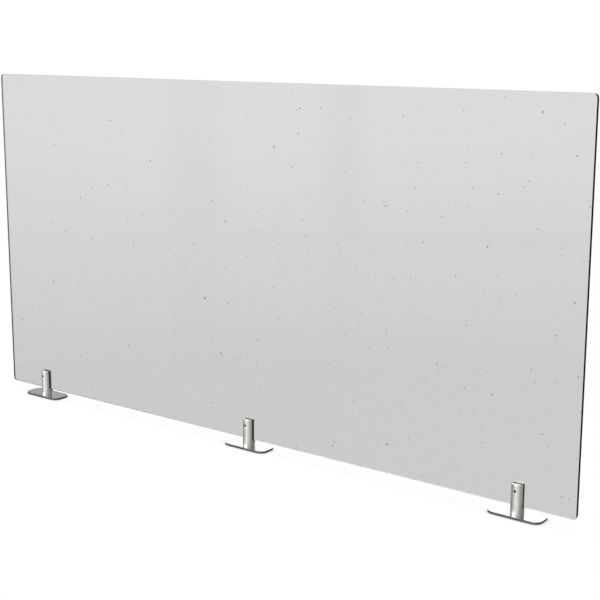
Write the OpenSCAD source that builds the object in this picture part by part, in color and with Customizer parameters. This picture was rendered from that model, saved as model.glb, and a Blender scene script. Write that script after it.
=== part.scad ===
// Desk privacy panel: one clear acrylic sheet held upright by three slotted round posts.
// Each post stands on a small plate that is taped to the desk. A grub screw in the front jaw
// of the post pushes a nylon pad against the rubber liner and so clamps the sheet.
// Millimetres. +X runs along the sheet, +Y is its back, +Z is up, and z = 0 is the desk.

/* [Sheet] */
// Length of the acrylic sheet
sheet_w = 1219.2; // [900:0.1:1800]
// Height of the acrylic sheet
sheet_h = 609.6; // [300:0.1:900]
// Thickness of the acrylic sheet
sheet_t = 6; // [5:0.5:7]
// Radius of the sheet's four corners
sheet_corner_r = 7; // [2:0.5:20]

/* [Posts] */
// Distance from the end of the sheet to the axis of an end post
post_inset = 95; // [60:1:200]
// Diameter of a post
post_d = 21; // [20:0.5:24]
// Height of a post above its plate
post_h = 47; // [47:1:60]
// Depth of the slot, from the top of the post
slot_depth = 36; // [30:1:36]
// Chamfer round the top of a post
post_chamfer = 0.6; // [0.2:0.1:1]

/* [Plates] */
// Length of a base plate
plate_l = 89; // [70:1:110]
// Depth of a base plate, front to back
plate_w = 38; // [32:1:50]
// Thickness of a base plate
plate_t = 3; // [3:0.5:5]
// Radius of a base plate's corners
plate_corner_r = 12.7; // [5:0.1:15]
// Thickness of the adhesive pad under a plate
pad_t = 1; // [0.8:0.1:2]
// How far the adhesive pad stops short of the plate's edge
pad_margin = 1.5; // [0.5:0.5:4]

/* [Liner] */
// Thickness of the liner's two sides
liner_side_t = 0.8; // [0.5:0.1:1]
// Thickness of the liner's floor
liner_floor_t = 1; // [0.5:0.1:2]
// How far the liner stops short of the post's surface
liner_setback = 0.4; // [0.2:0.1:0.8]

/* [Grub screw] */
// Diameter of the grub screw
grub_d = 4; // [3:0.5:5]
// Length of the grub screw without its nose
grub_l = 4.3; // [3.5:0.1:4.6]
// Distance from the top of the post down to the grub screw's axis
grub_drop = 10; // [8:0.5:14]
// Width across the flats of the grub screw's hexagonal socket
grub_socket_af = 2; // [1.5:0.1:2]
// Thickness of the nylon pressure pad
nylon_t = 1.4; // [1.3:0.1:1.6]

/* [Plate screw] */
// Diameter of the countersunk screw between plate and post
csk_d = 5; // [4:0.5:5]
// Length of the countersunk screw, head included
csk_l = 11; // [8:0.5:11]
// Diameter of the countersunk screw's head
csk_head_d = 9.2; // [8:0.1:9.4]

/* [Hidden] */
$fn = 64;

post_r = post_d / 2;
end_x = sheet_w / 2 - post_inset;          // axis of the right-hand post
side_gap = 0.05;                           // air between the sheet and each side of the liner
fit = 0.05;                                // radial running clearance of the turning pieces
screw_fit = 0.02;                          // radial clearance of a screw in its tapped hole
over = 1;                                  // how far a cut runs past the surface it opens

plate_z = pad_t;                           // underside of the plate
post_z = plate_z + plate_t;                // foot of the post
post_top = post_z + post_h;
slot_z = post_top - slot_depth;            // floor of the slot
slot_w = sheet_t + 2 * (side_gap + liner_side_t);
sheet_z = slot_z + liner_floor_t;          // bottom edge of the sheet

grub_z = post_top - grub_drop;
grub_bore_r = grub_d / 2 + fit;
nose_r = grub_d / 4;                       // nose of the grub screw, which turns in the pad
nose_l = 0.8;
nylon_y = -slot_w / 2;                     // face of the pad that bears on the liner
nylon_r = grub_d / 2 - 0.1;
nylon_bore_deep = 0.9;
thrust_gap = 0.1;                          // air between the pad and the screw's shoulder
grub_y = nylon_y - nylon_t - thrust_gap;   // shoulder of the grub screw
grub_chamfer = 0.4;
grub_socket_deep = 2;

csk_r = csk_d / 2;
csk_head_r = csk_head_d / 2;
csk_recess = 0.15;                         // the head sits this far above the plate's underside
csk_head_h = csk_head_r - csk_r;           // a 90 degree head is as high as it is wide
csk_seat_gap = 0.1;                        // the countersink is this much wider than the head
csk_socket_af = 3;
csk_socket_deep = 1.6;
csk_tap_spare = 0.8;                       // empty thread beyond the screw's end
csk_tap_deep = csk_l + csk_recess - plate_t + csk_tap_spare;

// A flat plate with rounded corners, centred on X and Y, standing on z = 0.
module rounded_plate(l, w, t, r) {
    linear_extrude(t) {
        square([l - 2 * r, w], center = true);
        square([l, w - 2 * r], center = true);
        for (sx = [-1, 1], sy = [-1, 1])
            translate([sx * (l / 2 - r), sy * (w / 2 - r)]) circle(r);
    }
}

// A hexagonal socket, measured across its flats.
module hex_socket(af, deep) {
    cylinder(h = deep, r = af / 2 / cos(30), $fn = 6);
}

// The sheet stands in the slots, on the liners' floors.
module panel() {
    color([0.86, 0.89, 0.89, 0.4])
    translate([0, sheet_t / 2, sheet_z + sheet_h / 2])
    rotate([90, 0, 0])
    rounded_plate(sheet_w, sheet_h, sheet_t, sheet_corner_r);
}

// One bracket's own pieces are drawn about its axis, then moved to x.
module post(x) {
    color("silver")
    translate([x, 0, 0])
    difference() {
        rotate_extrude($fn = 96)
        polygon([
            [0, post_z],
            [post_r, post_z],
            [post_r, post_top - post_chamfer],
            [post_r - post_chamfer, post_top],
            [0, post_top]
        ]);
        translate([-post_r - over, -slot_w / 2, slot_z])
            cube([post_d + 2 * over, slot_w, slot_depth + over]);
        translate([0, -slot_w / 2 + over, grub_z])
            rotate([90, 0, 0]) cylinder(h = post_r + over, r = grub_bore_r);
        translate([0, 0, post_z - over])
            cylinder(h = csk_tap_deep + over, r = csk_r + screw_fit);
    }
}

module base_plate(x) {
    color("gainsboro")
    translate([x, 0, plate_z])
    difference() {
        rounded_plate(plate_l, plate_w, plate_t, plate_corner_r);
        translate([0, 0, -over])
            cylinder(h = plate_t + 2 * over, r = csk_r + 4 * fit);
        translate([0, 0, -over])
            cylinder(h = csk_recess + over, r = csk_head_r + csk_seat_gap);
        translate([0, 0, csk_recess])
            cylinder(h = csk_head_h, r1 = csk_head_r + csk_seat_gap, r2 = csk_r + csk_seat_gap);
    }
}

module adhesive_pad(x) {
    color("dimgray")
    translate([x, 0, 0])
    rounded_plate(plate_l - 2 * pad_margin, plate_w - 2 * pad_margin, pad_t, plate_corner_r - pad_margin);
}

// Countersunk from below, so the top of the plate stays plain.
module plate_screw(x) {
    color("lightsteelblue")
    translate([x, 0, plate_z + csk_recess])
    difference() {
        rotate_extrude()
        polygon([[0, 0], [csk_head_r, 0], [csk_r, csk_head_h], [csk_r, csk_l], [0, csk_l]]);
        translate([0, 0, -over]) hex_socket(csk_socket_af, csk_socket_deep + over);
    }
}

// A rubber channel that lines the two jaws and the floor of the slot.
module slot_liner(x) {
    color([0.05, 0.05, 0.05])
    translate([x, 0, 0])
    intersection() {
        translate([0, 0, slot_z])
            cylinder(h = slot_depth - liner_setback, r = post_r - liner_setback, $fn = 96);
        difference() {
            translate([-post_r, -slot_w / 2, slot_z]) cube([post_d, slot_w, slot_depth]);
            translate([-post_r - over, -sheet_t / 2 - side_gap, sheet_z])
                cube([post_d + 2 * over, sheet_t + 2 * side_gap, slot_depth + over]);
        }
    }
}

// The screw lies along Y: its socket faces the front and its nose turns in the pad.
module grub_screw(x) {
    r = grub_d / 2;
    color([0.12, 0.12, 0.13])
    translate([x, grub_y, grub_z])
    rotate([90, 0, 0])
    difference() {
        rotate_extrude()
        polygon([
            [0, -nose_l], [nose_r, -nose_l], [nose_r, 0], [r - grub_chamfer, 0], [r, grub_chamfer],
            [r, grub_l - grub_chamfer], [r - grub_chamfer, grub_l], [0, grub_l]
        ]);
        translate([0, 0, grub_l - grub_socket_deep]) hex_socket(grub_socket_af, grub_socket_deep + over);
    }
}

// The pad slides with the screw but doesn't turn, so it never rubs the liner.
module pressure_pad(x) {
    color("ivory")
    translate([x, nylon_y, grub_z])
    rotate([90, 0, 0])
    difference() {
        cylinder(h = nylon_t, r = nylon_r);
        translate([0, 0, nylon_t - nylon_bore_deep]) cylinder(h = nylon_bore_deep + over, r = nose_r + fit);
    }
}

panel();
post(-end_x);  // post_left
post(0);  // post_centre
post(end_x);  // post_right
base_plate(-end_x);  // base_plate_left
base_plate(0);  // base_plate_centre
base_plate(end_x);  // base_plate_right
adhesive_pad(-end_x);  // adhesive_pad_left
adhesive_pad(0);  // adhesive_pad_centre
adhesive_pad(end_x);  // adhesive_pad_right
plate_screw(-end_x);  // plate_screw_left
plate_screw(0);  // plate_screw_centre
plate_screw(end_x);  // plate_screw_right
slot_liner(-end_x);  // slot_liner_left
slot_liner(0);  // slot_liner_centre
slot_liner(end_x);  // slot_liner_right
grub_screw(-end_x);  // grub_screw_left
grub_screw(0);  // grub_screw_centre
grub_screw(end_x);  // grub_screw_right
pressure_pad(-end_x);  // pressure_pad_left
pressure_pad(0);  // pressure_pad_centre
pressure_pad(end_x);  // pressure_pad_right
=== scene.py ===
# Desk privacy panel: a clear acrylic sheet clamped in three slotted posts on taped-down plates.
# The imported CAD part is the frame. Every visible piece is built round it here, in metres.
import math

import bmesh
import bpy
import numpy as np
from mathutils import Matrix, Vector


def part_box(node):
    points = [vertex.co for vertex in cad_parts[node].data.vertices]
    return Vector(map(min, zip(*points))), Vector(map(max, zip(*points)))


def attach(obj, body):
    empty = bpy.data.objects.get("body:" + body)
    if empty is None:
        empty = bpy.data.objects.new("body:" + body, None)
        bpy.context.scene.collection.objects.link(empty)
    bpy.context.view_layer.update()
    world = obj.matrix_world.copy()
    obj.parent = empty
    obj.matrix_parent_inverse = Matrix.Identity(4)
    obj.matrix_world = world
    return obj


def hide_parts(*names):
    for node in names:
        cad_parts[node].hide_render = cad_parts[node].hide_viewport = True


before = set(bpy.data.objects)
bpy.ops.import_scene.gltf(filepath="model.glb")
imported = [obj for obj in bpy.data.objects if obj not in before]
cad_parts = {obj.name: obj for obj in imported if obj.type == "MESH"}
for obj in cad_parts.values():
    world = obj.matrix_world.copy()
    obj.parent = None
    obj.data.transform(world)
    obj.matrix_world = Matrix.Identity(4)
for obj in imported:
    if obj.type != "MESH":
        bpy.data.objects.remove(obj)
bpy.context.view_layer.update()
mm = 0.001
sides = ("left", "centre", "right")
cornerAngle = 40          # degrees: a sharper edge than this is a corner
print("stage: frame loaded with", len(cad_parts), "nodes")


def ringMesh(name, rings, loop=False, rimStations=None):
    # rings is stations x points x 3: quads join each ring to the next; the ends are flat caps or join up
    stations, points = rings.shape[:2]
    index = np.arange(stations * points).reshape(stations, points)
    low = index if loop else index[:-1]
    high = np.roll(index, -1, axis=0) if loop else index[1:]
    quads = np.stack([low, np.roll(low, -1, 1), np.roll(high, -1, 1), high], axis=-1).reshape(-1, 4)
    faces = quads.tolist()
    if not loop:
        faces += [index[0, ::-1].tolist(), index[-1].tolist()]
    mesh = bpy.data.meshes.new(name)
    mesh.from_pydata(rings.reshape(-1, 3).tolist(), [], faces)
    if rimStations is not None:  # 1 on the stations that are the piece's side faces and their rounded edges, which its material colours much darker
        values = np.repeat(rimStations.astype(np.float32), points)
        mesh.attributes.new("rim", "FLOAT", "POINT").data.foreach_set("value", values)
    mesh.validate()
    return placed(name, mesh)


def placed(name, mesh, sharpAt=32):
    piece = bpy.data.objects.new(name, mesh)
    bpy.context.scene.collection.objects.link(piece)
    mesh.polygons.foreach_set("use_smooth", np.ones(len(mesh.polygons), bool))
    mesh.set_sharp_from_angle(angle=math.radians(sharpAt))
    return piece


def faceTable(mesh, what):
    # one row of three numbers for each face: its centre or its normal
    values = np.empty(len(mesh.polygons) * 3)
    mesh.polygons.foreach_get(what, values)
    return values.reshape(-1, 3)


def cadCopy(name, node, arris, segments=3):
    # a merged copy of a CAD node whose sharp corners are cut to a small round
    bm = bmesh.new()
    bm.from_mesh(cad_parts[node].data)
    bmesh.ops.remove_doubles(bm, verts=bm.verts, dist=2e-6)
    bmesh.ops.dissolve_limit(bm, angle_limit=math.radians(0.5), verts=bm.verts, edges=bm.edges)
    corners = [edge for edge in bm.edges if edge.calc_face_angle(0) > math.radians(cornerAngle)]
    bmesh.ops.bevel(bm, geom=corners, offset=arris, offset_type="OFFSET", segments=segments, profile=0.5,
                    affect="EDGES", clamp_overlap=True)
    mesh = bpy.data.meshes.new(name)
    bm.to_mesh(mesh)
    bm.free()
    return placed(name, mesh, cornerAngle)


def exactNormals(piece, axis, radius, near=2e-6, facing=0.9):
    # where a corner's true direction is known it is set: out from the axis on the round wall, which is
    # (x - axisX, y - axisY) / radius, and square to the flat on a flat face and on the round beside it
    mesh = piece.data
    corners = len(mesh.loops)
    points, normals = np.empty(len(mesh.vertices) * 3), np.empty(corners * 3)
    vertexOf = np.empty(corners, np.int32)
    mesh.vertices.foreach_get("co", points)
    mesh.loops.foreach_get("vertex_index", vertexOf)
    mesh.corner_normals.foreach_get("vector", normals)
    points, normals = points.reshape(-1, 3), normals.reshape(-1, 3)
    faces, faceNormals = mesh.polygons, faceTable(mesh, "normal")
    areas, sizes = np.empty(len(faces)), np.empty(len(faces), np.int32)
    faces.foreach_get("area", areas)
    faces.foreach_get("loop_total", sizes)
    faceOf = np.repeat(np.arange(len(faces)), sizes)
    faceDirection, where = faceNormals[faceOf], points[vertexOf]
    for direction in range(3):                                   # flats square to x, y and z
        flat = np.abs(faceNormals[:, direction]) > 0.9999
        onFlat = np.zeros(len(points), bool)
        onFlat[vertexOf[flat[faceOf]]] = True
        square = onFlat[vertexOf] & (np.abs(faceDirection[:, direction]) > facing)
        normals[square] = 0
        normals[square, direction] = np.sign(faceDirection[square, direction])
    outward = (where - np.array([axis[0], axis[1], 0])) * (1, 1, 0)
    away = np.linalg.norm(outward, axis=1)
    outward /= np.maximum(away, near)[:, None]
    onWall = (np.abs(away - radius) < near) & (np.sum(outward * faceDirection, axis=1) > facing)
    normals[onWall] = outward[onWall]
    mesh.normals_split_custom_set(normals.tolist())


def outline(halfX, halfY, radius, inset, points):
    # a rounded rectangle: the corner centres stay put and the corner arcs shrink by the inset
    quarter = points // 4
    turn = np.linspace(0, math.pi / 2, quarter)
    angle = (turn[None, :] + np.arange(4)[:, None] * math.pi / 2).ravel()
    signX = np.repeat([1, -1, -1, 1], quarter)
    signY = np.repeat([1, 1, -1, -1], quarter)
    arc = radius - inset
    return np.stack([signX * (halfX - radius) + arc * np.cos(angle),
                     signY * (halfY - radius) + arc * np.sin(angle)], axis=-1)


def slab(name, low, high, radius, profile, normal="z", points=64, rimFrom=None, hole=()):
    # the profile's (inset, height) pairs carried round a rounded rectangle, heights measured from the low
    # face; a hole's (radius, height) pairs are circles that go back down through the middle
    low, high = np.array(low), np.array(high)
    across = {"z": (0, 1, 2), "y": (2, 0, 1)}[normal]
    half = (high - low)[list(across)] / 2
    centre = ((high + low) / 2)[list(across)]
    turn = (np.arange(points) + 0.5) * 2 * math.pi / points
    circle = np.stack([np.cos(turn), np.sin(turn)], axis=-1)
    flats = [outline(half[0], half[1], radius, inset, points) for inset, _ in profile]
    flats += [holeRadius * circle for holeRadius, _ in hole]
    rings = np.empty((len(flats), points, 3))
    for station, (flat, (_, height)) in enumerate(zip(flats, list(profile) + list(hole))):
        rings[station, :, across[0]] = flat[:, 0] + centre[0]
        rings[station, :, across[1]] = flat[:, 1] + centre[1]
        rings[station, :, across[2]] = low[across[2]] + height
    rim = None
    if rimFrom is not None:
        rim = np.array([inset < rimFrom for inset, _ in profile] + [False] * len(hole))
    return ringMesh(name, rings, bool(hole), rim)


def roundedEdges(thickness, arris, steps=4, support=0.05 * mm):
    # profile of a slab whose two outer corners are quarter rounds, with a support ring on each flat
    turn = np.linspace(0, math.pi / 2, steps + 1)
    lower = [(arris * (1 - math.sin(a)), arris * (1 - math.cos(a))) for a in turn]
    upper = [(inset, thickness - height) for inset, height in reversed(lower)]
    return [(arris + support, 0)] + lower + upper + [(arris + support, thickness)]


def turned(name, profile, frameAxes, origin, points=48, thread=None, hexStations=()):
    # (along, radius) pairs spun about an axis; a thread lifts the radius by a helix, a hexagon bends it
    side, up, along = (np.array(a, float) for a in frameAxes)
    where = np.array([p[0] for p in profile])
    radius = np.array([p[1] for p in profile])
    angle = np.arange(points) * 2 * math.pi / points
    grid = np.repeat(radius[:, None], points, axis=1)
    if thread:
        phase = where[:, None] / thread["pitch"] - angle[None, :] / (2 * math.pi)
        wave = np.abs(2 * (phase - np.floor(phase + 0.5)))          # 0 on a crest, 1 in a root
        groove = np.clip((wave - thread["crest"]) / (1 - 2 * thread["crest"]), 0, 1)
        toEnd = np.minimum(where - thread["start"], thread["end"] - where)
        ends = np.clip(toEnd / (0.4 * thread["pitch"]), 0, 1)
        grid -= thread["depth"] * groove * ends[:, None]
    for station in hexStations:
        sector = np.mod(angle, math.pi / 3) - math.pi / 6
        grid[station] = radius[station] / np.cos(sector)
    rings = (np.array(origin, float) + where[:, None, None] * along
             + grid[..., None] * (np.cos(angle)[None, :, None] * side + np.sin(angle)[None, :, None] * up))
    return ringMesh(name, rings)


def newGroup(name, inputs, outputs):
    group = bpy.data.node_groups.new(name, "ShaderNodeTree")
    for label, kind, value in inputs:
        socket = group.interface.new_socket(label, in_out="INPUT", socket_type=kind)
        if value is not None:
            socket.default_value = value
    for label, kind in outputs:
        group.interface.new_socket(label, in_out="OUTPUT", socket_type=kind)
    return group, group.nodes.new("NodeGroupInput"), group.nodes.new("NodeGroupOutput")


def add(tree, kind, links=None, **values):
    # one node: keyword values set its properties, links feed its sockets by name or number
    node = tree.nodes.new(kind)
    for key, value in values.items():
        setattr(node, key, value)
    for socket, source in (links or {}).items():
        if isinstance(source, bpy.types.NodeSocket):
            tree.links.new(source, node.inputs[socket])
        else:
            node.inputs[socket].default_value = source
    return node


def maths(tree, operation, first, second=0.5, clamp=False):
    node = add(tree, "ShaderNodeMath", {0: first, 1: second}, operation=operation, use_clamp=clamp)
    return node.outputs[0]


def mixed(tree, share, first, second):
    node = add(tree, "ShaderNodeMix", data_type="RGBA")
    for socket, source in ((0, share), (6, first), (7, second)):
        if isinstance(source, bpy.types.NodeSocket):
            tree.links.new(source, node.inputs[socket])
        else:
            node.inputs[socket].default_value = source
    return node.outputs[2]


def mapRange(tree, value, low, high, toLow, toHigh):
    return add(tree, "ShaderNodeMapRange", {0: value, 1: low, 2: high, 3: toLow, 4: toHigh}).outputs[0]


def makeGrain():
    # stretched noise: fine lines left by a brush or a lathe tool
    group, given, result = newGroup("grain", [
        ("Vector", "NodeSocketVector", None), ("Stretch", "NodeSocketVector", (1, 1, 1)),
        ("Scale", "NodeSocketFloat", 400.0), ("Detail", "NodeSocketFloat", 3.0)],
        [("Height", "NodeSocketFloat"), ("Mask", "NodeSocketFloat")])
    scaled = add(group, "ShaderNodeVectorMath", {0: given.outputs["Vector"], 1: given.outputs["Stretch"]},
                 operation="MULTIPLY")
    noise = add(group, "ShaderNodeTexNoise", {"Vector": scaled.outputs[0], "Scale": given.outputs["Scale"],
                                              "Detail": given.outputs["Detail"], "Roughness": 0.62})
    group.links.new(noise.outputs[0], result.inputs["Height"])
    group.links.new(mapRange(group, noise.outputs[0], 0.38, 0.66, 0, 1), result.inputs["Mask"])
    return group


def makeWear():
    # the share of a point's surroundings that is a corner: a softened normal against the true one
    group, given, result = newGroup("wear", [
        ("Reach", "NodeSocketFloat", 0.0006), ("Gain", "NodeSocketFloat", 3.0),
        ("Vector", "NodeSocketVector", None)],
        [("Mask", "NodeSocketFloat")])
    soft = add(group, "ShaderNodeBevel", {"Radius": given.outputs["Reach"]}, samples=6)
    plain = add(group, "ShaderNodeNewGeometry")
    dot = add(group, "ShaderNodeVectorMath", {0: soft.outputs[0], 1: plain.outputs["Normal"]},
              operation="DOT_PRODUCT")
    turn = maths(group, "SUBTRACT", 1.0, dot.outputs["Value"], True)
    patchy = add(group, "ShaderNodeTexNoise", {"Vector": given.outputs["Vector"], "Scale": 600.0,
                                               "Detail": 4.0})
    broken = mapRange(group, patchy.outputs[0], 0.35, 0.65, 0.35, 1)
    strong = maths(group, "MULTIPLY", maths(group, "MULTIPLY", turn, given.outputs["Gain"]), broken, True)
    group.links.new(strong, result.inputs["Mask"])
    return group


def makeHandling():
    # broad soft patches where hands and cloths have been, with fine dust on top
    group, given, result = newGroup("handling", [
        ("Vector", "NodeSocketVector", None), ("Scale", "NodeSocketFloat", 9.0)],
        [("Smudge", "NodeSocketFloat"), ("Dust", "NodeSocketFloat")])
    vector, scale = given.outputs["Vector"], given.outputs["Scale"]
    broad = add(group, "ShaderNodeTexNoise", {"Vector": vector, "Scale": scale, "Detail": 5.0,
                                              "Distortion": 0.7})
    dustScale = maths(group, "MULTIPLY", scale, 45.0)
    fine = add(group, "ShaderNodeTexVoronoi", {"Vector": vector, "Scale": dustScale})
    group.links.new(mapRange(group, broad.outputs[0], 0.42, 0.72, 0, 1), result.inputs["Smudge"])
    group.links.new(mapRange(group, fine.outputs["Distance"], 0.14, 0.02, 0, 1), result.inputs["Dust"])
    return group


def makeSpecks():
    # one tiny dot in a share of the cells of a flat cell pattern, each with its own size and darkness
    group, given, result = newGroup("specks", [
        ("Vector", "NodeSocketVector", None), ("Spacing", "NodeSocketFloat", 0.03),
        ("Share", "NodeSocketFloat", 0.5), ("Radius", "NodeSocketFloat", 0.0008)],
        [("Mask", "NodeSocketFloat")])
    apart = add(group, "ShaderNodeSeparateXYZ", {0: given.outputs["Vector"]})
    flat = add(group, "ShaderNodeCombineXYZ", {0: apart.outputs[0], 1: apart.outputs[2]})
    scale = maths(group, "DIVIDE", 1.0, given.outputs["Spacing"])
    cells = add(group, "ShaderNodeTexVoronoi", {"Vector": flat.outputs[0], "Scale": scale, "Randomness": 1.0},
                voronoi_dimensions="2D")
    draw = add(group, "ShaderNodeSeparateColor", {0: cells.outputs["Color"]})
    away = maths(group, "MULTIPLY", cells.outputs["Distance"], given.outputs["Spacing"])
    spread = mapRange(group, draw.outputs[1], 0, 1, 0.55, 1.25)
    size = maths(group, "MULTIPLY", given.outputs["Radius"], spread)
    inside = maths(group, "SUBTRACT", 1.0, maths(group, "DIVIDE", away, size), True)
    dot = maths(group, "MULTIPLY", inside, 3.0, True)
    chosen = maths(group, "LESS_THAN", draw.outputs[0], given.outputs["Share"])
    dark = mapRange(group, draw.outputs[2], 0, 1, 0.35, 1)
    front = maths(group, "LESS_THAN", apart.outputs[1], 0.0)     # only in the front skin, so none shows twice
    shown = maths(group, "MULTIPLY", dot, chosen)
    mask = maths(group, "MULTIPLY", shown, maths(group, "MULTIPLY", dark, front))
    group.links.new(mask, result.inputs["Mask"])
    return group


grain, wear, handling, specks = makeGrain(), makeWear(), makeHandling(), makeSpecks()


def newMaterial(name, **sockets):
    # a Principled shader with plain socket values, and the object's own coordinates
    material = bpy.data.materials.new(name)
    material.use_nodes = True
    tree = material.node_tree
    shader = tree.nodes["Principled BSDF"]
    for label, value in sockets.items():
        shader.inputs[label.replace("_", " ")].default_value = value
    place = add(tree, "ShaderNodeTexCoord").outputs["Object"]
    return material, tree, shader, place


def useGroup(tree, group, links):
    node = tree.nodes.new("ShaderNodeGroup")
    node.node_tree = group
    for label, source in links.items():
        if isinstance(source, bpy.types.NodeSocket):
            tree.links.new(source, node.inputs[label])
        else:
            node.inputs[label].default_value = source
    return node


def bumped(tree, shader, height, strength, distance):
    bump = add(tree, "ShaderNodeBump", {"Height": height, "Strength": strength, "Distance": distance})
    tree.links.new(bump.outputs[0], shader.inputs["Normal"])


def acrylicFace():
    look = {"clear": (0.612, 0.600, 0.594, 1), "speck": (0.004, 0.004, 0.004, 1),
            "specks": ((0.031, 0.5, 0.0012, 0.75), (0.05, 0.75, 0.0015, 0.9), (0.085, 0.4, 0.0016, 0.97),
                       (0.135, 0.5, 0.0019, 1.0))}               # spacing, share, radius, darkness
    material, tree, shader, place = newMaterial("clearAcrylic", IOR=1.49, Transmission_Weight=1.0)
    sizes = []
    for spacing, share, radius, darkness in look["specks"]:
        drawn = useGroup(tree, specks, {"Vector": place, "Spacing": spacing, "Share": share,
                                        "Radius": radius})
        sizes.append(maths(tree, "MULTIPLY", drawn.outputs[0], darkness))
    dots = sizes[0]
    for size in sizes[1:]:
        dots = maths(tree, "MAXIMUM", dots, size)
    tree.links.new(mixed(tree, dots, look["clear"], look["speck"]), shader.inputs["Base Color"])
    touch = useGroup(tree, handling, {"Vector": place, "Scale": 5.0})
    rough = maths(tree, "ADD", mapRange(tree, touch.outputs["Smudge"], 0, 1, 0.0, 0.02),
                  maths(tree, "MULTIPLY", dots, 0.4))
    tree.links.new(rough, shader.inputs["Roughness"])
    return material


def acrylicRim():
    look = {"cut": (0.5, 0.51, 0.5, 1), "polished": (0.64, 0.645, 0.64, 1)}
    material, tree, shader, place = newMaterial("acrylicRim", IOR=1.49, Transmission_Weight=1.0)
    lines = useGroup(tree, grain, {"Vector": place, "Stretch": (0.06, 1, 0.06), "Scale": 900.0})
    colour = mixed(tree, lines.outputs["Mask"], look["cut"], look["polished"])
    tree.links.new(colour, shader.inputs["Base Color"])
    tree.links.new(mapRange(tree, lines.outputs["Mask"], 0, 1, 0.34, 0.2), shader.inputs["Roughness"])
    bumped(tree, shader, lines.outputs["Height"], 0.15, 0.0001)
    return material


def acrylicEndPaintedShade():
    # painted shade: the end faces are coloured nearly black for the darkness an end face shows, as it looks
    # edge on down the whole length of the sheet
    look = {"deep": (0.002, 0.002, 0.002, 1), "scuffed": (0.012, 0.012, 0.012, 1)}
    material, tree, shader, place = newMaterial("acrylicEndPaintedShade", IOR=1.49, Specular_IOR_Level=0.05)
    lines = useGroup(tree, grain, {"Vector": place, "Stretch": (1, 1, 0.06), "Scale": 900.0})
    touch = useGroup(tree, handling, {"Vector": place, "Scale": 12.0})
    scuffs = maths(tree, "MULTIPLY", lines.outputs["Mask"], touch.outputs["Smudge"])
    tree.links.new(mixed(tree, scuffs, look["deep"], look["scuffed"]), shader.inputs["Base Color"])
    tree.links.new(mapRange(tree, lines.outputs["Mask"], 0, 1, 0.22, 0.3), shader.inputs["Roughness"])
    bumped(tree, shader, lines.outputs["Height"], 0.1, 0.0001)
    return material


metalDetail = {"handlingScale": 60.0, "smudgeRoughness": 0.06, "bumpHeight": 0.00005, "rimDark": 0.6}


def metal(name, look, stretch, scale, rough, bump, darkSideColour=None):
    material, tree, shader, place = newMaterial(name, Metallic=1.0)
    lines = useGroup(tree, grain, {"Vector": place, "Stretch": stretch, "Scale": scale})
    edges = useGroup(tree, wear, {"Vector": place})
    touch = useGroup(tree, handling, {"Vector": place, "Scale": metalDetail["handlingScale"]})
    colour = mixed(tree, lines.outputs["Mask"], look["dark"], look["light"])
    colour = mixed(tree, edges.outputs["Mask"], colour, look["worn"])
    if darkSideColour:
        # the faces marked as rim, the sides and their rounded edges, are coloured much darker than the rest
        cut = add(tree, "ShaderNodeAttribute", attribute_name="rim").outputs["Fac"]
        darker = tuple(metalDetail["rimDark"] * c for c in darkSideColour[:3]) + (1,)
        colour = mixed(tree, cut, colour, mixed(tree, lines.outputs["Mask"], darker, darkSideColour))
    tree.links.new(colour, shader.inputs["Base Color"])
    spread = maths(tree, "ADD", mapRange(tree, lines.outputs["Mask"], 0, 1, rough[1], rough[0]),
                   maths(tree, "MULTIPLY", touch.outputs["Smudge"], metalDetail["smudgeRoughness"]))
    tree.links.new(spread, shader.inputs["Roughness"])
    bumped(tree, shader, lines.outputs["Height"], bump, metalDetail["bumpHeight"])
    return material


dullDetail = {"handlingScale": 40.0, "dustGrey": 0.4, "dustShare": 0.25, "wornGain": 1.5, "wornLift": 0.02,
              "wornShare": 0.5, "bumpHeight": 0.0001}


def dull(name, dark, light, scale, rough, bump, stretch=(1, 1, 1), **sockets):
    # rubber, foam, nylon and black steel: a fine pebble with dust in it
    material, tree, shader, place = newMaterial(name, **sockets)
    pebble = useGroup(tree, grain, {"Vector": place, "Stretch": stretch, "Scale": scale, "Detail": 5.0})
    touch = useGroup(tree, handling, {"Vector": place, "Scale": dullDetail["handlingScale"]})
    edges = useGroup(tree, wear, {"Vector": place})
    colour = mixed(tree, pebble.outputs["Mask"], dark, light)
    dusty = tuple((c + dullDetail["dustGrey"]) / 2 for c in light[:3]) + (1,)
    dustCover = maths(tree, "MULTIPLY", touch.outputs["Dust"], dullDetail["dustShare"])
    colour = mixed(tree, dustCover, colour, dusty)
    worn = tuple(min(1, c * dullDetail["wornGain"] + dullDetail["wornLift"]) for c in light[:3]) + (1,)
    wornCover = maths(tree, "MULTIPLY", edges.outputs["Mask"], dullDetail["wornShare"])
    colour = mixed(tree, wornCover, colour, worn)
    tree.links.new(colour, shader.inputs["Base Color"])
    spread = mapRange(tree, pebble.outputs["Mask"], 0, 1, *rough)
    tree.links.new(spread, shader.inputs["Roughness"])
    bumped(tree, shader, pebble.outputs["Height"], bump, dullDetail["bumpHeight"])
    return material


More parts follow.
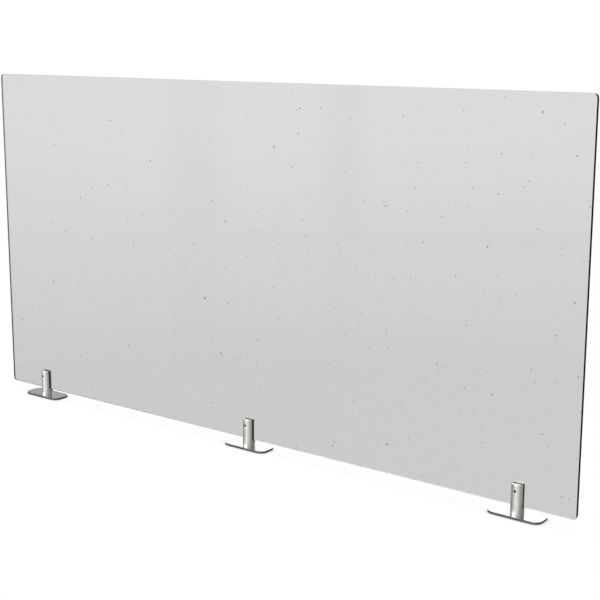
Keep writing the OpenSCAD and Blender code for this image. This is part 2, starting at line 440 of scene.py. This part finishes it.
nickelLook = {"dark": (0.60, 0.585, 0.56, 1), "light": (0.74, 0.725, 0.70, 1), "worn": (0.86, 0.85, 0.83, 1)}
# the top face's even grain is a real faced finish; its much lighter colour than the walls is painted light on
# the top
facedPaintedLightLook = {"dark": (0.88, 0.87, 0.86, 1), "light": (0.95, 0.945, 0.94, 1), "worn": (0.96, 0.955, 0.95, 1)}
steelLook = {"dark": (0.64, 0.625, 0.61, 1), "light": (0.78, 0.77, 0.755, 1), "worn": (0.85, 0.84, 0.82, 1)}
# the bore's near-black colour is painted shade for the hollows of the thread
boreShadeLook = {"dark": (0.006, 0.006, 0.006, 1), "light": (0.015, 0.015, 0.015, 1),
            "worn": (0.04, 0.04, 0.04, 1)}
zincLook = {"dark": (0.52, 0.54, 0.58, 1), "light": (0.68, 0.70, 0.74, 1), "worn": (0.8, 0.8, 0.8, 1)}
finishes = {
    "face": acrylicFace(),
    "edge": acrylicRim(),
    # the end finish's nearly black colour is painted shade
    "end": acrylicEndPaintedShade(),
    "post": metal("satinNickel", nickelLook, (1, 1, 26), 240.0, (0.24, 0.36), 0.25),
    "postTopPaintedLight": metal("facedNickelPaintedLight", facedPaintedLightLook, (1, 1, 1), 500.0, (0.28, 0.4), 0.25),
    # the plate's side faces are coloured much darker than its top
    "plate": metal("plateSteel", steelLook, (0.035, 1, 1), 1500.0, (0.13, 0.22), 0.12,
                   (0.2, 0.193, 0.187, 1)),
    "bore": metal("tappedBorePaintedShade", boreShadeLook, (1, 1, 1), 700.0, (0.5, 0.6), 0.3),
    "zinc": metal("zincSteel", zincLook, (1, 1, 1), 300.0, (0.25, 0.4), 0.2),
    "tape": dull("foamTape", (0.02, 0.02, 0.02, 1), (0.05, 0.05, 0.05, 1), 1400.0, (0.7, 0.95), 0.6),
    "rubber": dull("blackRubber", (0.014, 0.014, 0.014, 1), (0.03, 0.03, 0.03, 1), 2600.0, (0.5, 0.75), 0.3),
    "oxide": dull("blackSteel", (0.003, 0.003, 0.004, 1), (0.009, 0.009, 0.01, 1), 1800.0, (0.4, 0.6), 0.2,
                  Specular_IOR_Level=0.2),
    "nylon": dull("whiteNylon", (0.76, 0.74, 0.67, 1), (0.84, 0.82, 0.76, 1), 900.0, (0.38, 0.55), 0.15,
                  Subsurface_Weight=0.2, Subsurface_Scale=0.0006),
}
print("stage: materials ready:", len(finishes))


def dress(piece, finish, body, nodes):
    piece.data.materials.clear()
    piece.data.materials.append(finishes[finish])
    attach(piece, body)
    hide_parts(*nodes)
    return piece


sheet = {"cornerRadius": 7 * mm, "arris": 0.2 * mm, "outlinePoints": 96, "endTurn": 0.5}


def buildSheet():
    # the edge profile carried round a rounded rectangle in x and z; faces run band by band, caps last
    low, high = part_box("panel")
    thickness, points = high.y - low.y, sheet["outlinePoints"]
    profile = roundedEdges(thickness, sheet["arris"])
    piece = slab("acrylic_sheet", low, high, sheet["cornerRadius"], profile, "y", points)
    dress(piece, "face", "sheet", ["panel"])
    piece.data.materials.append(finishes["edge"])
    piece.data.materials.append(finishes["end"])
    bands = len(profile) - 1
    bandOf = np.arange(bands * points) // points
    rimBand = bandOf == bands // 2                               # the flat of the cut edge
    sideways = np.abs(faceTable(piece.data, "normal")[:bands * points, 0].reshape(bands, points)[bands // 2])
    paintedShadeEnds = np.tile(sideways > sheet["endTurn"], bands)       # the ends, and half of each corner: these take the nearly black end finish, which is painted shade
    finish = np.zeros(len(piece.data.polygons), np.int32)
    finish[:bands * points] = np.where(paintedShadeEnds, 2, rimBand)
    piece.data.polygons.foreach_set("material_index", finish)


buildSheet()
print("stage: sheet built")


post = {"arris": 0.25 * mm, "boreRadius": 2.1 * mm, "topSkin": 0.01 * mm}


def buildPost(side):
    # top faces get the faced finish, and walls that run along y close to the screw's axis get the near-black
    # bore finish, which is painted shade for the hollows of the thread
    piece = cadCopy(f"post_{side}_turned", f"post_{side}", post["arris"])
    dress(piece, "post", "brackets", [f"post_{side}"])
    # the top finish is partly painted light: its colour is much lighter than the walls
    piece.data.materials.append(finishes["postTopPaintedLight"])
    piece.data.materials.append(finishes["bore"])
    screwLow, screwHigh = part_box(f"grub_screw_{side}")
    low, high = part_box(f"post_{side}")
    axis, top = (screwLow + screwHigh) / 2, high.z
    middles, outward = faceTable(piece.data, "center"), faceTable(piece.data, "normal")
    facing = (middles[:, 2] > top - post["topSkin"]).astype(np.int32)
    fromAxis = np.hypot(middles[:, 0] - axis.x, middles[:, 2] - axis.z)
    # painted shade: these bore walls are coloured nearly black for the dark of the thread's hollows
    boreShadeFaces = (fromAxis < post["boreRadius"]) & (np.abs(outward[:, 1]) < 0.1) & (middles[:, 1] < 0)
    facing[boreShadeFaces] = 2
    piece.data.polygons.foreach_set("material_index", facing)
    exactNormals(piece, (low + high) / 2, (high.x - low.x) / 2)


liner = {"arris": 0.15 * mm, "roundSteps": 2}


def buildLiner(side):
    piece = cadCopy(f"slot_liner_{side}_rubber", f"slot_liner_{side}", liner["arris"], liner["roundSteps"])
    dress(piece, "rubber", "brackets", [f"slot_liner_{side}"])


def threadStations(start, end, pitch, perPitch=12):
    return np.linspace(start, end, int((end - start) / pitch * perPitch))


grub = {"radius": 2.0 * mm, "nose": 1.0 * mm, "noseLength": 0.8 * mm, "flats": 1.0 * mm,
        "socketDepth": 2.0 * mm, "pitch": 0.7 * mm, "threadDepth": 0.3 * mm, "crest": 0.12,
        "bevel": 0.4 * mm, "tip": 0.12 * mm,
        "lead": 0.1 * mm, "drillPoint": 0.3 * mm}


def buildGrub(side):
    # along runs from the nose, which faces the sheet, to the socket at the front
    low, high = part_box(f"grub_screw_{side}")
    centre = (low + high) / 2
    length = high.y - low.y
    shoulder, bevel = grub["noseLength"], grub["bevel"]
    r, tip = grub["radius"], grub["tip"]
    floor = length - grub["socketDepth"]
    profile = [(0, grub["nose"] - tip), (tip, grub["nose"]), (shoulder, grub["nose"]), (shoulder, r - bevel)]
    profile += [(w, r) for w in threadStations(shoulder + bevel, length - bevel, grub["pitch"])]
    profile += [(length, r - bevel), (length, grub["flats"] * 1.2)]
    hexFrom = len(profile)
    profile += [(length - grub["lead"], grub["flats"]), (floor, grub["flats"]),
                (floor - grub["drillPoint"], 0.2 * grub["flats"])]
    thread = {"pitch": grub["pitch"], "depth": grub["threadDepth"], "crest": grub["crest"],
              "start": shoulder + bevel, "end": length - bevel}
    piece = turned(f"grub_screw_{side}_threaded", profile, ((1, 0, 0), (0, 0, 1), (0, -1, 0)),
                   (centre.x, high.y, centre.z), 48, thread, (hexFrom, hexFrom + 1))
    dress(piece, "oxide", f"{side}_screw", [f"grub_screw_{side}"])


plateScrew = {"radius": 2.5 * mm, "flats": 1.5 * mm, "socketDepth": 1.6 * mm, "pitch": 0.8 * mm,
              "threadDepth": 0.42 * mm, "point": 0.6 * mm, "crest": 0.12, "lead": 0.12 * mm, "rim": 0.05 * mm,
              "drillPoint": 0.4 * mm}


def buildPlateScrew(side):
    # along runs from the screw's point, up in the post, down to its head under the plate
    low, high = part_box(f"plate_screw_{side}")
    centre = (low + high) / 2
    length, headRadius = high.z - low.z, (high.x - low.x) / 2
    r = plateScrew["radius"]
    cone, lead = length - (headRadius - r), plateScrew["lead"]
    outer, floor = headRadius - plateScrew["rim"], length - plateScrew["socketDepth"]
    profile = [(0, r - plateScrew["point"])]
    profile += [(w, r) for w in threadStations(plateScrew["point"], cone, plateScrew["pitch"])]
    profile += [(length - lead, outer), (length, outer - lead), (length, plateScrew["flats"] * 1.2)]
    hexFrom = len(profile)
    profile += [(length - lead, plateScrew["flats"]), (floor, plateScrew["flats"]),
                (floor - plateScrew["drillPoint"], 0.2 * plateScrew["flats"])]
    thread = {"pitch": plateScrew["pitch"], "depth": plateScrew["threadDepth"], "crest": plateScrew["crest"],
              "start": plateScrew["point"], "end": cone}
    piece = turned(f"plate_screw_{side}_threaded", profile, ((0, 1, 0), (1, 0, 0), (0, 0, -1)),
                   (centre.x, centre.y, high.z), 48, thread, (hexFrom, hexFrom + 1))
    dress(piece, "zinc", "brackets", [f"plate_screw_{side}"])


pressurePad = {"boreRadius": 1.05 * mm, "boreDepth": 0.9 * mm, "arris": 0.2 * mm}


def buildPressurePad(side):
    # along runs from the face on the liner to the bored back that the screw's nose turns in
    low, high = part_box(f"pressure_pad_{side}")
    centre = (low + high) / 2
    length, r, a = high.y - low.y, (high.x - low.x) / 2, pressurePad["arris"]
    bore = pressurePad["boreRadius"]
    profile = [(0, r - a), (0.3 * a, r - 0.3 * a), (a, r), (length - a, r), (length - 0.3 * a, r - 0.3 * a),
               (length, r - a), (length, bore), (length - pressurePad["boreDepth"], bore)]
    piece = turned(f"pressure_pad_{side}_moulded", profile, ((1, 0, 0), (0, 0, 1), (0, -1, 0)),
                   (centre.x, high.y, centre.z), 48)
    dress(piece, "nylon", f"{side}_pad", [f"pressure_pad_{side}"])


plate = {"cornerRadius": 12.7 * mm, "arris": 0.3 * mm, "outlinePoints": 96, "shankHole": 2.7 * mm,
         "headHole": 4.7 * mm, "recess": 0.15 * mm, "coneTop": 2.15 * mm}


def buildPlate(side):
    low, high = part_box(f"base_plate_{side}")
    profile = roundedEdges(high.z - low.z, plate["arris"])
    countersink = [(plate["shankHole"], high.z - low.z), (plate["shankHole"], plate["coneTop"]),
                   (plate["headHole"], plate["recess"]), (plate["headHole"], 0)]
    piece = slab(f"base_plate_{side}_satin", low, high, plate["cornerRadius"], profile,
                 points=plate["outlinePoints"], rimFrom=plate["arris"], hole=countersink)
    dress(piece, "plate", "brackets", [f"base_plate_{side}"])


tape = {"cornerRadius": 11.2 * mm, "arris": 0.15 * mm, "roundSteps": 2, "outlinePoints": 64}


def buildTape(side):
    low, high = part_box(f"adhesive_pad_{side}")
    profile = roundedEdges(high.z - low.z, tape["arris"], tape["roundSteps"])
    piece = slab(f"adhesive_pad_{side}_foam", low, high, tape["cornerRadius"], profile,
                 points=tape["outlinePoints"])
    dress(piece, "tape", "brackets", [f"adhesive_pad_{side}"])


for side in sides:
    buildPost(side)
    buildLiner(side)
    buildPlate(side)
    buildTape(side)
    buildPlateScrew(side)
    buildGrub(side)
    buildPressurePad(side)
    print("stage: bracket built:", side)


def makeFloor():
    paper = {"radius": 60.0, "innerRadius": 0.2, "wedges": 96, "shadow": 0.84, "reach": 0.03, "paintedContactShadow": 0.45,
             "contactReach": 0.007}
    wedges = paper["wedges"]
    turn = np.arange(wedges) * 2 * math.pi / wedges
    radii = np.array([paper["innerRadius"], paper["radius"]])
    rings = np.stack([radii[:, None] * np.cos(turn), radii[:, None] * np.sin(turn),
                      np.zeros((2, wedges))], axis=-1)
    index = np.arange(2 * wedges).reshape(2, wedges)
    quads = np.stack([index[0], index[1], np.roll(index[1], -1), np.roll(index[0], -1)], axis=-1)
    mesh = bpy.data.meshes.new("floor")
    mesh.from_pydata(rings.reshape(-1, 3).tolist(), [], quads.tolist() + [index[0].tolist()])
    floor = placed("floor", mesh)
    floor.visible_glossy = False
    material, tree, shader, place = newMaterial("floorPaper", Base_Color=(0, 0, 0, 1), Roughness=1.0,
                                                Specular_IOR_Level=0.0)
    # the floor glows evenly and is darkened by ambient occlusion near the pieces: painted contact shadow
    broad = add(tree, "ShaderNodeAmbientOcclusion", {"Distance": paper["reach"]}, samples=8)
    close = add(tree, "ShaderNodeAmbientOcclusion", {"Distance": paper["contactReach"]}, samples=16)
    glowWithPaintedShadow = maths(tree, "MULTIPLY", mapRange(tree, broad.outputs["AO"], 0.3, 0.9, paper["shadow"], 1),
                 mapRange(tree, close.outputs["AO"], 0.3, 0.95, paper["paintedContactShadow"], 1))
    shader.inputs["Emission Color"].default_value = (1, 1, 1, 1)
    tree.links.new(glowWithPaintedShadow, shader.inputs["Emission Strength"])
    mesh.materials.append(material)


def compassRamp(tree, turn, stops):
    # brightness by compass direction: (degrees from the front, brightness) pairs
    ramp = add(tree, "ShaderNodeValToRGB", {0: turn})
    ramp.color_ramp.interpolation = "EASE"
    elements = ramp.color_ramp.elements
    while len(elements) < len(stops):
        elements.new(0.5)
    for element, (degrees, value) in zip(elements, stops):
        element.position = (degrees + 180) / 360
        element.color = (value, value, value, 1)
    return ramp.outputs[0]


def band(tree, value, low, high, soft):
    # 1 between two values, fading out over the soft width on each side
    rise = mapRange(tree, value, low - soft, low + soft, 0, 1)
    fall = mapRange(tree, value, high - soft, high + soft, 1, 0)
    return maths(tree, "MULTIPLY", rise, fall)


def makeWorld():
    # the studio as gloss sees it: a wall of windows in front, and plain white to the camera
    wall = {
        "below": [(-180, 0.15), (-150, 0.25), (-105, 0.22), (-75, 0.32), (-48, 0.45), (-26, 0.6), (-8, 1.2),
                  (12, 1.1), (35, 0.85), (60, 0.52), (95, 0.34), (140, 0.16), (165, 0.08), (180, 0.15)],
        "above": [(-180, 1.0), (-170, 1.5), (-146, 1.5), (-139, 1.4), (-134.5, 0.5), (-120, 0.34), (-75, 0.5),
                  (-30, 1.0), (20, 1.0), (60, 0.6), (95, 0.4), (150, 0.3), (172, 0.5), (180, 1.2)],
        "windowLeft": 2.45, "windowRight": 3.35, "bar": 2.6, "sky": 0.6,
        "paneTurn": (-50, -42), "horizon": (-4, 6), "skyFrom": (28, 60), "windowFoot": (-15.2, -4),
        "windowSides": (-62, -8, 12), "leftBar": (-43, -40.5, 0.7), "rightBar": (-35.5, -34, 0.6),
        "crossBar": (-9.6, -8.9, 0.3)}                           # degrees; the third is the soft width
    world = bpy.data.worlds.new("studio")
    world.use_nodes = True
    tree = world.node_tree
    tree.nodes.clear()
    direction = add(tree, "ShaderNodeSeparateXYZ", {0: add(tree, "ShaderNodeTexCoord").outputs["Generated"]})
    front = maths(tree, "MULTIPLY", direction.outputs[1], -1.0)
    bearing = maths(tree, "MULTIPLY", maths(tree, "ARCTAN2", direction.outputs[0], front), 180 / math.pi)
    height = maths(tree, "MULTIPLY", maths(tree, "ARCSINE", direction.outputs[2]), 180 / math.pi)
    turn = mapRange(tree, bearing, -180, 180, 0, 1)
    upper = mapRange(tree, height, *wall["horizon"], 0, 1)
    below, above = compassRamp(tree, turn, wall["below"]), compassRamp(tree, turn, wall["above"])
    studio = mixed(tree, upper, below, above)
    studio = mixed(tree, mapRange(tree, height, *wall["skyFrom"], 0, 1), studio, (wall["sky"],) * 3 + (1,))
    aboveFoot = mapRange(tree, height, *wall["windowFoot"], 0, 1)
    inWindow = maths(tree, "MULTIPLY", aboveFoot, band(tree, bearing, *wall["windowSides"]))
    bars = band(tree, bearing, *wall["leftBar"])
    bars = maths(tree, "MAXIMUM", bars, band(tree, bearing, *wall["rightBar"]))
    bars = maths(tree, "MAXIMUM", bars, band(tree, height, *wall["crossBar"]))
    pane = mapRange(tree, bearing, *wall["paneTurn"], wall["windowLeft"], wall["windowRight"])
    glass = mixed(tree, bars, pane, (wall["bar"],) * 3 + (1,))
    studio = mixed(tree, inWindow, studio, glass)
    path = add(tree, "ShaderNodeLightPath")
    direct = maths(tree, "LESS_THAN", maths(tree, "ADD", path.outputs["Glossy Depth"],
                                            path.outputs["Diffuse Depth"]), 0.5)
    through = maths(tree, "MULTIPLY", path.outputs["Is Transmission Ray"], direct)
    seen = maths(tree, "MAXIMUM", path.outputs["Is Camera Ray"], through)
    colour = mixed(tree, seen, studio, (1, 1, 1, 1))
    background = add(tree, "ShaderNodeBackground", {0: colour, 1: 1.0})
    output = add(tree, "ShaderNodeOutputWorld")
    tree.links.new(background.outputs[0], output.inputs[0])
    bpy.context.scene.world = world


def makeLight(name, where, target, size, power):
    light = bpy.data.lights.new(name, "AREA")
    light.shape = "RECTANGLE"
    light.size, light.size_y = size
    light.energy = power
    lamp = bpy.data.objects.new(name, light)
    bpy.context.scene.collection.objects.link(lamp)
    lamp.location = where
    lamp.rotation_euler = (Vector(target) - Vector(where)).to_track_quat("-Z", "Y").to_euler()


def makeCamera():
    view = {"place": (1.2895, -1.5772, 0.6996), "yaw": 36.788, "pitch": -11.364, "roll": 0.205,
            "lens": 73.736, "shift": (-0.0008, -0.0287)}
    camera = bpy.data.objects.new("camera", bpy.data.cameras.new("camera"))
    bpy.context.scene.collection.objects.link(camera)
    camera.data.sensor_width = 36
    camera.data.lens = view["lens"]
    camera.data.shift_x, camera.data.shift_y = view["shift"]
    camera.data.clip_end = 200
    turn = (Matrix.Rotation(math.radians(view["yaw"]), 4, "Z")
            @ Matrix.Rotation(math.radians(90 + view["pitch"]), 4, "X")
            @ Matrix.Rotation(math.radians(view["roll"]), 4, "Z"))
    camera.matrix_world = Matrix.Translation(view["place"]) @ turn
    bpy.context.scene.camera = camera


makeFloor()
makeWorld()
makeLight("softboxFront", (-0.9, -2.4, 2.2), (0, 0, 0.25), (1.6, 1.2), 8)
makeLight("softboxTop", (0.3, 0.4, 2.8), (0, 0, 0.2), (2.4, 1.2), 12)
makeCamera()
bpy.context.scene.view_settings.view_transform = "Standard"
print("stage: lights and camera ready")
